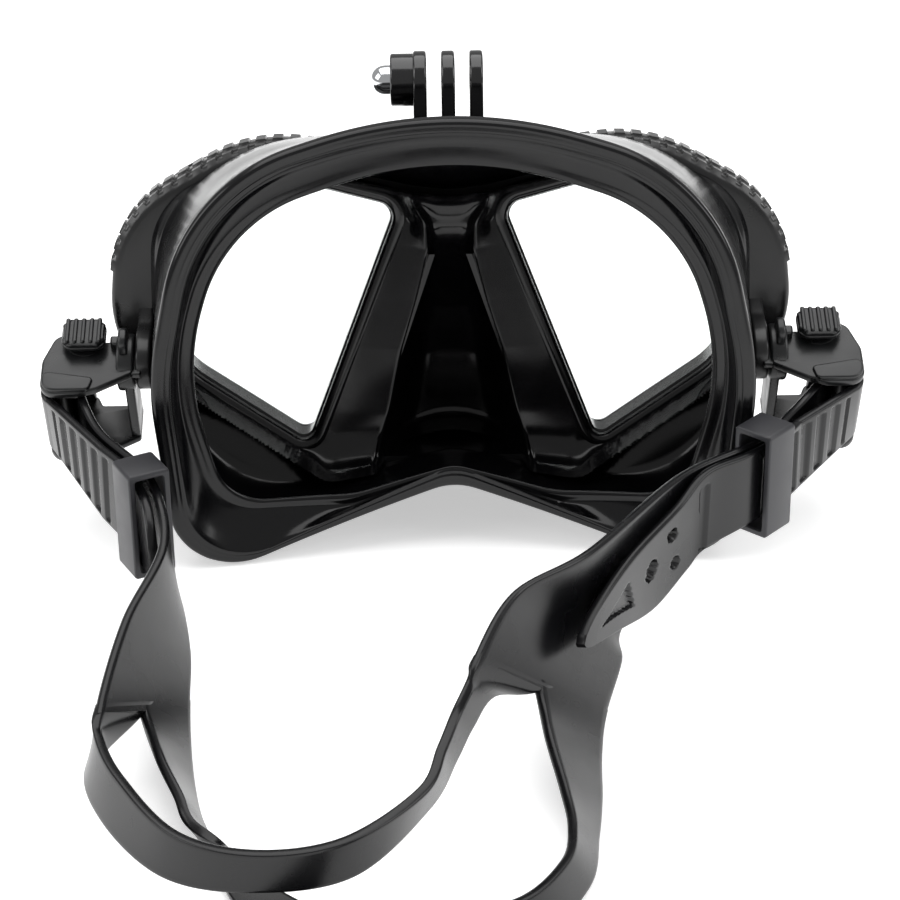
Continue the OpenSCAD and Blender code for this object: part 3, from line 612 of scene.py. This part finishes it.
def make_mount():
    """Three fins with a cross bore, a foot on the bridge, a tongue down the front, and the nut's boss."""
    fin = [[41.6, 80, 0.4], [56.4, 80, 0.4], [55.4, 86.5, 4], [55.3, 100.6, 6.28], [42.7, 100.6, 6.28], [42.6, 86.5, 4]]
    bore = circle(MOUNT_Y, BORE_Z, 2.5)
    shells = [placed(block(fin, x - 1.5, x + 1.5, 0.55, [bore], n=16), edgewise) for x in (-6.2, 0, 6.2)]
    foot = [[-11.4, 77.2, 0.8], [11.4, 77.2, 0.8], [9.8, 83.1, 1.6], [-9.8, 83.1, 1.6]]
    shells.append(placed(block(foot, 3.2, 13.7, 0.8), plane))
    shells.append(placed(block(box(-3.8, 3.8, 63, 80.6, 1.5), 0.7, 2.88, 0.5), plane))
    shells.append(placed(block(box(-3.8, 3.8, 77.8, 80.6, 0.8), 0.7, 3.6, 0.4), plane))
    boss = rings_at(circle(MOUNT_Y, BORE_Z, 5.8), soft_edge(-12.7, -7.2, 0.5), 16)
    socket = rings_at([[MOUNT_Y + 4.6 * math.cos(a), BORE_Z + 4.6 * math.sin(a), 0.3] for a in np.arange(6) * math.pi / 3],
                      [(0, -12.7), (0, -7.2)], 6)
    shells.append(placed(capped(boss, socket), edgewise))
    put("camera_fins", shells, MOUNT_POLYCARBONATE, "mask", "mount_plastic", "camera_mount")


def make_nut():
    """Domed nut: six flats in the boss, a collar, and a dome of quarter-circle section, turned about the bore."""
    flats = [[4.45 * math.cos(a), 4.45 * math.sin(a), 0.4] for a in np.arange(6) * math.pi / 3]
    a = np.linspace(0, math.pi / 2, 12)
    dome = np.stack([3.3 * np.cos(a), 2.6 + 3.3 * np.sin(a)], 1)
    profile = [(2.1, -3), (3.2, -3), (3.9, 0.4), (3.9, 0.9), (3.3, 1.2), *dome[:-1].tolist(), (0.02, 5.9), (0.02, 3.4), (2.1, 3.2)]
    turn = lambda p: np.stack([-11.2 - p[..., 2], MOUNT_Y + p[..., 0], BORE_Z + p[..., 1]], -1)
    put("domed_nut", [placed(block(flats, -3.0, 0.4, 0.3, [circle(0, 0, 2.2)], n=4), turn), placed(turned(profile), turn)],
        NUT_CHROME, "mask", "nut_chrome", "acorn_nut")


# ---------------------------------------------------------------- buckles

PIVOT = np.array([70.3, 26.0, 37.5])
SLOPE = math.radians(22)
STRAP_W, STRAP_T = 17.5, 2.0
INNER_H = STRAP_W + 2
ROLLER = np.array([16.0, -8.0, -8.5])
CHEEK_TOP, CHEEK_LOW = ROLLER[2] + INNER_H / 2, ROLLER[2] - INNER_H / 2
CAP_LOW = CHEEK_TOP + 2 + 0.1 + 1.2 + 0.1
BUTTON = (11.2, 3.0)


def at_swivel(p):
    """Buckle coordinates to the frame: turned by the slope about X, then moved to the swivel."""
    y = p[..., 1] * math.cos(SLOPE) - p[..., 2] * math.sin(SLOPE)
    z = p[..., 1] * math.sin(SLOPE) + p[..., 2] * math.cos(SLOPE)
    return np.stack([p[..., 0], y, z], -1) + PIVOT


CHEEK = [[0.2, -6, 1], [8, -10.5, 4], [12, -11.8, 4], [20.4, -11.8, 3.6], [20.4, -2, 5], [17.8, 5.2, 3],
         [10.8, 6.8, 2], [9.4, 3.4, 0.8], [0.2, 3.4, 0.8]]


def make_buckle(side, turn):
    """Buckle: two cheek plates, the swivel's disc and base, an outer wall, the button's well and a roller bar."""
    base = rings_at(circle(0, 0, 6.3), soft_edge(0, 3.9, 0.6), 14)
    pin_hole = rings_at(circle(0, 0, 2.05), [(0, 0), (0, 3.9)], 14)
    disc = placed(capped(base, pin_hole), edgewise)
    back = placed(block(box(-5.9, 3.3, CHEEK_LOW - 1.9, CHEEK_TOP + 1.9, 0.8), 0.3, 2.4, 0.5,
                        [circle(0, 0, 2.05)]), edgewise)
    wall = [[10.9, 4.8, 0.8], [16.4, 3.5, 1.4], [17.5, 1.4, 1.4], [18.5, -1.9, 0.5], [20.2, -1.9, 0.5], [19.7, 1.7, 2],
            [17.9, 5.2, 2], [10.9, 6.7, 0.8]]
    well = block(circle(*BUTTON, 4.1), CHEEK_TOP - 9, CHEEK_TOP + 2.05, 0.3, [circle(*BUTTON, 2.66)], n=12)
    top = block(CHEEK, CHEEK_TOP, CHEEK_TOP + 2, 0.6, [circle(*BUTTON, 2.7)], n=8)
    low = block(CHEEK, CHEEK_LOW - 2, CHEEK_LOW, 0.6, n=8)
    bar = block([[9.5, -11.3, 1.6], [20.0, -11.3, 3.2], [20.2, -5.4, 1.6], [8.6, -7.6, 1]], CHEEK_TOP + 1.4, CHEEK_TOP + 2.7, 0.55, n=8)
    fence = block([[2.2, 0.6, 0.5], [5.4, 0.6, 1.2], [5.4, 3.2, 0.5], [2.2, 3.2, 0.5]], CHEEK_TOP + 1.4, CHEEK_TOP + 4.2, 0.5)
    tab = placed(block([[-3.2, 5.2, 0.9], [3.2, 5.2, 0.9], [2.6, 9.6, 2.4], [-2.6, 9.6, 2.4]], 1.2, 3.2, 0.6), edgewise)
    clip = [block([[-1.6, -6.2, 0.5], [0.6, -6.2, 0.5], [0.6, -1.2, 0.3], [-1.6, -1.2, 0.3]], CHEEK_TOP + 0.2, CHEEK_TOP + 1.7, 0.35)]
    parts = [block(wall, CHEEK_LOW - 0.2, CHEEK_TOP + 0.2, 0.1), well, top, low, bar, fence, *clip]
    shells = [placed(s, at_swivel) for s in (disc, back, tab, *parts)]
    put(f"swivel_buckle_{side}", [turn(s) for s in shells], BUCKLE_NYLON, f"buckle_{side}", "buckle_plastic", f"buckle_{side}")


def make_button(side, turn):
    """Release button: a stem hollow for its spring, a plain base, and a scalloped cap with five ridges across it.

    The cap's side is a rounded rectangle whose distance from its middle is 1 + 0.03 cos(14 angle).
    """
    x, y = BUTTON
    foot = CHEEK_TOP - 7.5
    stem = block(circle(x, y, 2.6), foot + 7.4, CAP_LOW + 0.4, 0.2, n=12)
    hollow = turned([(2.15, foot + 3.2), (2.6, foot + 3.2), (2.6, foot + 7.5), (2.15, foot + 7.5)], 32)
    hollow = (hollow[0] + [x, y, 0], hollow[1])
    base = block(box(x - 4.9, x + 4.9, y - 3.8, y + 4.4, 2.6), CAP_LOW, CAP_LOW + 1.0, 0.3, n=10)
    cap = rings_at(box(-4.8, 4.8, -4.0, 4.0, 2.6), [(0.5, 0.9), (0.1, 1.2), (0.1, 1.7), (0.4, 2.1), (1.1, 2.3)], 24)
    angle = np.arctan2(cap[..., 1], cap[..., 0])
    cap[..., :2] *= (1 + 0.03 * np.cos(14 * angle))[..., None]
    cap = capped(cap + [x, y + 0.3, CAP_LOW])
    ridges = [block(box(x + t - 0.5, x + t + 0.5, y - 3.3, y + 3.9, 0.45), CAP_LOW + 1.5, CAP_LOW + 2.8, 0.4, n=5)
              for t in np.linspace(-3.5, 3.5, 5)]
    shells = [placed(s, at_swivel) for s in (stem, hollow, base, cap, *ridges)]
    put(f"release_button_{side}", [turn(s) for s in shells], BUCKLE_NYLON, f"button_{side}", "buckle_plastic", f"button_{side}")


# ---------------------------------------------------------------- strap and keepers

# Stations of the strap, each its lower and its upper edge: [x, y, z, x, y, z]
RIGHT = [[74.8, 9.8, 15.6, 74.8, 9.3, 32.4], [64.9, -6, 15.8, 64.9, -6, 32.6],
         [46.8, -21.5, 13.5, 46.8, -22, 33], [33.6, -37.8, 6.2, 25.8, -53.6, 33.5],
         [32.9, -46.7, 2.8, 10.3, -67, 32.2]]
SPLIT_R = [28.6, -64.6, 1.6, 2.2, -83.9, 28]
UPPER_BAND = [[6.1, -77.6, 16, 1, -87.8, 24.5], [1.3, -83.6, 12.5, -1.5, -91.2, 20.5],
         [-1.9, -90.6, 10, -4.2, -98.7, 18], [-7.1, -101.7, 7, -8.1, -109, 15.5],
         [-20.8, -120, 5.2, -21.9, -121.2, 14], [-38.7, -124.1, 5.2, -38, -124.5, 14],
         [-54.9, -117.2, 3.6, -52.6, -118, 14], [-67.3, -100.8, 4.2, -63.6, -102.5, 15.5],
         [-71.4, -85, 5.8, -68.4, -91, 16.4]]
LOWER_BAND = [[26.7, -78.5, 1.1, 15.9, -86.4, 12], [25.8, -92.5, 1.1, 18.2, -100.4, 9.5],
         [24.3, -104.6, 1.1, 19.2, -111.7, 9], [21.6, -119.5, 1.1, 17.2, -122.8, 9.5],
         [11, -134.5, 1.1, 8.7, -133.5, 9.5], [-6, -138.5, 1.1, -6, -137.5, 9.5],
         [-24, -137, 1.1, -22, -129, 2.4], [-39.5, -127, 1.1, -34.5, -120, 2],
         [-46.7, -110.5, 1.1, -43.5, -110, 4], [-48.5, -102.5, 1.1, -51, -105.5, 7],
         [-50.9, -94, 1.1, -53.6, -99.5, 9], [-53.1, -79.1, 1.1, -58, -88.5, 10]]
SPLIT_L = [-54.9, -57.7, 1.4, -69.5, -83.5, 18]
LEFT = [[-55.9, -41.9, 4, -66, -61.5, 24], [-58.9, -30.2, 10, -59.8, -38.5, 28.4],
         [-64.6, -18.6, 14.5, -64.2, -17.4, 32.3], [-77, 5, 15.5, -77, 4, 32.6]]
# Stations of the right tail's cut end, tip last
TAIL_R = [[47.6, -24.5, 11.3, 45.4, -28.9, 29.4], [40, -33.5, 7.4, 34.4, -45.7, 27.2],
         [30.7, -51.8, 13.3, 26.5, -58.8, 23.2], [24, -64.6, 17.2, 23.2, -65, 19.3]]
LAY = STRAP_T + 0.9
CAD_STEPS = 6       # the CAD's steps between stations, which number the tail's end and the keepers' places
FINE = 8            # finer steps here, for each of the CAD's
WRAP_R = 2.3 + 0.3 + STRAP_T / 2


def smooth(rows, steps):
    """Catmull-Rom curve through the rows, with steps between neighbours."""
    p = np.asarray(rows, float)
    n = len(p)
    i = np.minimum(np.arange((n - 1) * steps + 1) // steps, n - 2)
    t = (np.arange((n - 1) * steps + 1) / steps - i)[:, None]
    a, b, c, d = p[np.maximum(i - 1, 0)], p[i], p[i + 1], p[np.minimum(i + 2, n - 1)]
    return 0.5 * (2 * b + (c - a) * t + (2 * a - 5 * b + 4 * c - d) * t ** 2 + (3 * b - a - 3 * c + d) * t ** 3)


def side_of(p):
    """Unit vector across the strap's thickness at each row: along it, crossed with its width."""
    mid = p[:, :3] + p[:, 3:]
    along = np.gradient(mid, axis=0)
    s = np.cross(along, p[:, 3:] - p[:, :3])
    return s / np.linalg.norm(s, axis=1)[:, None]


def beside(p, d):
    return p + np.hstack([side_of(p)] * 2) * d


def turn_row(degrees):
    """Row of the turn round the roller, at an angle about the roller."""
    a = np.radians(degrees)
    x, y = ROLLER[0] + WRAP_R * np.cos(a), ROLLER[1] + WRAP_R * np.sin(a)
    low = at_swivel(np.stack([x, y, np.full_like(a, ROLLER[2] - STRAP_W / 2)], -1))
    high = at_swivel(np.stack([x, y, np.full_like(a, ROLLER[2] + STRAP_W / 2)], -1))
    return np.hstack([low, high])


def crossed(rows):
    return np.asarray(rows, float) * [-1, 1, 1, -1, 1, 1]


def main_run(rows, sign):
    """Rows from the roller to a little past the split, heading for the outer edges of the two bands."""
    turn = turn_row(np.array([150.0]))
    steps = CAD_STEPS * FINE
    return smooth(np.vstack([turn if sign > 0 else crossed(turn), rows]), steps)[:6 - steps]


def part_of(row, a, b):
    """The row with its ends moved to the fractions a and b of its width."""
    low, high = row[:3], row[3:]
    return np.concatenate([low + (high - low) * a, low + (high - low) * b])


RUN_R = main_run(RIGHT + [SPLIT_R, LOWER_BAND[0][:3] + UPPER_BAND[0][3:]], 1)
RUN_L = main_run(LEFT[::-1] + [SPLIT_L, LOWER_BAND[-1][:3] + UPPER_BAND[-1][3:]], -1)
BACK_R, BACK_L = (beside(run, -sign * LAY)[::FINE] for run, sign in ((RUN_R, 1), (RUN_L, -1)))
TIP_R = [BACK_R[17], *TAIL_R]
TIP_L = [part_of(BACK_L[16], 0.05, 0.9), part_of(BACK_L[18], 0.3, 0.6)]


def tail_and_run(main, tip, sign):
    """Rows of one side: from the tail's tip to the roller, round it, and back along the main run to the split.

    The tail lies outside the main run; it is a Catmull-Rom curve through the rows of tip.
    """
    back = beside(main, -sign * LAY)
    tail = smooth([back[11 * FINE], back[14 * FINE], *tip], 3 * FINE)
    wrap = turn_row(np.arange(-45, 148, 2.0))
    wrap = wrap if sign > 0 else crossed(wrap)
    return np.vstack([tail[::-1], back[11 * FINE - 1:8 * FINE:-1], wrap, main[1:]])


def evenly(rows, step):
    """Rows at equal steps along the strap's middle, their lengths, and the whole length."""
    mid = (rows[:, :3] + rows[:, 3:]) / 2
    run = np.concatenate([[0], np.cumsum(np.linalg.norm(np.diff(mid, axis=0), axis=1))])
    s = np.arange(0, run[-1], step)
    return at_length(rows, run, s), s


def ribbon(rows, s, relief=None, width=None, columns=44):
    """A strap band: a rounded section, wide from lower to upper edge and 2 mm thick, carried along the rows.

    relief(s, u, face) gives the depth in mm cut into a face (+1 or -1) at length s and width share u;
    width(s) gives the lower and upper ends of the band's width, for a pointed tail.
    """
    a = np.linspace(-math.pi / 2, math.pi / 2, 9)
    h = STRAP_T / 2
    flat = np.linspace(0.035, 0.965, columns)
    reach = np.linalg.norm(rows[:, 3:] - rows[:, :3], axis=1)
    u = np.concatenate([flat, 0.965 + 0.035 * np.cos(a[1:-1]), flat[::-1], 0.035 - 0.035 * np.cos(a[1:-1])])
    t = np.concatenate([np.full(columns, -h), h * np.sin(a[1:-1]), np.full(columns, h), -h * np.sin(a[1:-1])])
    lo, hi = width(s) if width else (np.zeros_like(s), np.ones_like(s))
    share = lo[:, None] + (hi - lo)[:, None] * u
    thick = np.repeat(t[None], len(s), 0)
    if relief:
        cut = relief(s[:, None], share, np.sign(t)[None] * (np.abs(t) == h))
        thick = thick - np.sign(t) * cut
    n = side_of(rows)
    p = (rows[:, None, :3] + (rows[:, None, 3:] - rows[:, None, :3]) * share[..., None] + n[:, None] * thick[..., None])
    return capped(p)


def groove(s, start, end, pitch, width, depth):
    """Cross grooves at a pitch between two lengths, each with sloped sides."""
    near = np.abs((s - start + pitch / 2) % pitch - pitch / 2)
    return depth * smooth_step((width / 2 + 0.35 - near) / 0.7) * ((s > start - 1) & (s < end))


def between(u, low, high, soft=0.02):
    return smooth_step((u - low) / soft) * smooth_step((high - u) / soft)


def make_strap():
    """Strap: ribbed end with its returned tail on each side, and the two bands behind the head."""
    shells = []
    for main, tip, sign in ((RUN_R, TIP_R, 1), (RUN_L, TIP_L, -1)):
        rows, s = evenly(tail_and_run(main, tip, sign), 0.5)
        mid = (rows[:, :3] + rows[:, 3:]) / 2
        turn = s[np.argmax(np.abs(mid[:, 0]))]          # where the strap goes round the roller
        keep = (s < turn + 42) | (np.arange(len(s)) % 2 == 0)       # coarser where the strap is plain
        rows, s = rows[keep], s[keep]
        outer = sign        # the tail's face away from the main run; the left tail is cut short, without dents

        def relief(s, u, face, turn=turn, outer=outer, cut_end=sign > 0):
            ribs = groove(s, turn - 34, turn - 6, 5.6, 2.6, 0.7) * between(u, 0.06, 0.92)
            inner = groove(s, turn + 6, turn + 40, 5.6, 2.6, 0.7) * between(u, 0.06, 0.92)
            bars = groove(s, turn - 59.2, turn - 37, 20.0, 2.7, 0.6) * between(u, 0.0, 0.86)
            pits = 0
            for at, share, r in PITS:
                far = np.hypot(s - at, (u - share) * 20)
                pits = np.maximum(pits, 1.5 * smooth_step((r - far) / 0.5 + 0.5))
            a, b, c = TRIANGLE
            edge = [((q[0] - p[0]) * (u * 20 - p[1] * 20) - (q[1] - p[1]) * 20 * (s - p[0])) /
                    math.hypot(q[0] - p[0], (q[1] - p[1]) * 20) for p, q in ((a, b), (b, c), (c, a))]
            dent = 0.9 * smooth_step(np.minimum.reduce(edge) / 0.5 + 0.3)
            shown = np.where(s < turn, ribs + (bars + np.maximum(pits, dent)) * cut_end, inner)
            return np.where(face == outer, shown, 0)

        def pointed(s):
            t = np.clip(1 - s / 2.5, 0, 1) ** 2
            return 0.3 * t, 1 - 0.3 * t

        shells.append(ribbon(rows, s, relief, pointed, 48))
    for share, band in (((0.46, 1), UPPER_BAND), ((0, 0.54), LOWER_BAND)):
        ends = [part_of(np.array(split), *share) for split in (SPLIT_R, SPLIT_L)]
        rows = smooth([RIGHT[-1], ends[0], *band, ends[1], LEFT[0]], 40)[37:-37]
        rows, s = evenly(rows, 1.0)
        shells.append(ribbon(rows, s, columns=16))
    put("head_strap", shells, STRAP_SILICONE, "strap", "strap_silicone", "strap", sharp=50)


# Dents near the tail's tip: [length from the tip, share of the width, radius], and the triangle's corners
PITS = [[41.3, 0.74, 1.5], [40.6, 0.33, 1.5], [33.5, 0.62, 1.3], [32.4, 0.58, 1.5], [31.2, 0.52, 1.2]]
TRIANGLE = [[7.7, 0.5], [22.0, 0.33], [24.1, 0.76]]


def make_keeper(side, main, sign):
    """Keeper: a rounded rectangular sleeve round the strap and its tail."""
    k = 2 * CAD_STEPS * FINE
    at = (main[k, :3] + main[k, 3:]) / 2
    d = main[k + FINE] - main[k - FINE]
    angle = math.atan2(d[1], d[0])
    across, tall = LAY + STRAP_T + 1.4, STRAP_W + 4
    y, z, wall = across / 2, tall / 2, 1.5
    outer = rings_at(box(-y - wall, y + wall, -z - wall, z + wall, 0.9), soft_edge(-4.5, 4.5, 0.45), 6)
    inner = rings_at(box(-y, y, -z, z, 0.5), [(-0.3, -4.5), (0, -4.2), (0, 4.2), (-0.3, 4.5)], 6)

    def place(p):
        q = np.stack([p[..., 2], p[..., 0] + sign * LAY / 2, p[..., 1]], -1)
        c, s = math.cos(angle), math.sin(angle)
        return np.stack([q[..., 0] * c - q[..., 1] * s, q[..., 0] * s + q[..., 1] * c, q[..., 2]], -1) + at

    put(f"strap_keeper_{side}", [placed(capped(outer, inner), place)], KEEPER_ACETAL, f"keeper_{side}", "keeper_plastic",
        f"keeper_{side}")


# ---------------------------------------------------------------- assembly

make_lenses()
make_frame()
make_skirt()
make_mount()
make_nut()
for side, turn, main, sign in (("right", lambda s: s, RUN_R, 1), ("left", flip, RUN_L, -1)):
    make_buckle(side, turn)
    make_button(side, turn)
    make_keeper(side, main, sign)
make_strap()
for node, finish, slot in (("mount_screws", STEEL, "screw_steel"), ("swivel_pin_left", FRAME_ABS, "pin_plastic"),
                           ("swivel_pin_right", FRAME_ABS, "pin_plastic"), ("roller_left", FRAME_ABS, "pin_plastic"),
                           ("roller_right", FRAME_ABS, "pin_plastic"), ("roller_pin_left", STEEL, "pin_steel"),
                           ("roller_pin_right", STEEL, "pin_steel"), ("button_spring_left", STEEL, "pin_steel"),
                           ("button_spring_right", STEEL, "pin_steel")):
    for used in NODES[node].material_slots:
        used.material = finish

# ---------------------------------------------------------------- studio


def studio():
    """White table lit from below, dim surroundings, a wide soft box above and one at each side."""
    floor_mesh = bpy.data.meshes.new("table_top")
    floor_mesh.from_pydata([(-6, -6, 0), (6, -6, 0), (6, 6, 0), (-6, 6, 0)], [], [(0, 1, 2, 3)])
    white, tree, out = material("white_laminate")
    place = add(tree, "ShaderNodeTexCoord").outputs["Object"]
    mottle = add(tree, "ShaderNodeTexNoise", {"Vector": place}, Scale=3.0)
    tone = add(tree, "ShaderNodeMix", {"Factor": mottle.outputs["Fac"]}, data_type="RGBA")
    tone.inputs[6].default_value, tone.inputs[7].default_value = linear("#fbfbfb"), linear("#ffffff")
    face = add(tree, "ShaderNodeBsdfPrincipled", {"Base Color": tone.outputs[2], "Emission Color": tone.outputs[2]},
               Roughness=0.7)
    face.inputs["Emission Strength"].default_value = 0.5
    tree.links.new(face.outputs[0], out.inputs["Surface"])
    floor_mesh.materials.append(white)
    floor = bpy.data.objects.new("table_top", floor_mesh)
    bpy.context.scene.collection.objects.link(floor)
    world = bpy.data.worlds.new("studio")
    world.use_nodes = True
    world.node_tree.nodes["Background"].inputs[0].default_value = (1, 1, 1, 1)
    world.node_tree.nodes["Background"].inputs[1].default_value = 0.4
    bpy.context.scene.world = world
    for name, place, size, power in (("box_above", (0.0, 0.35, 1.5), 1.8, 20), ("box_left", (-1.3, -0.3, 0.9), 0.9, 7),
                                     ("box_right", (1.3, -0.3, 0.9), 0.9, 7)):
        data = bpy.data.lights.new(name, "AREA")
        data.size, data.energy = size, power
        lamp = bpy.data.objects.new(name, data)
        lamp.location = place
        lamp.rotation_euler = (-Vector(place)).to_track_quat("-Z", "Y").to_euler()
        bpy.context.scene.collection.objects.link(lamp)
    bpy.context.scene.view_settings.view_transform = "Standard"


studio()
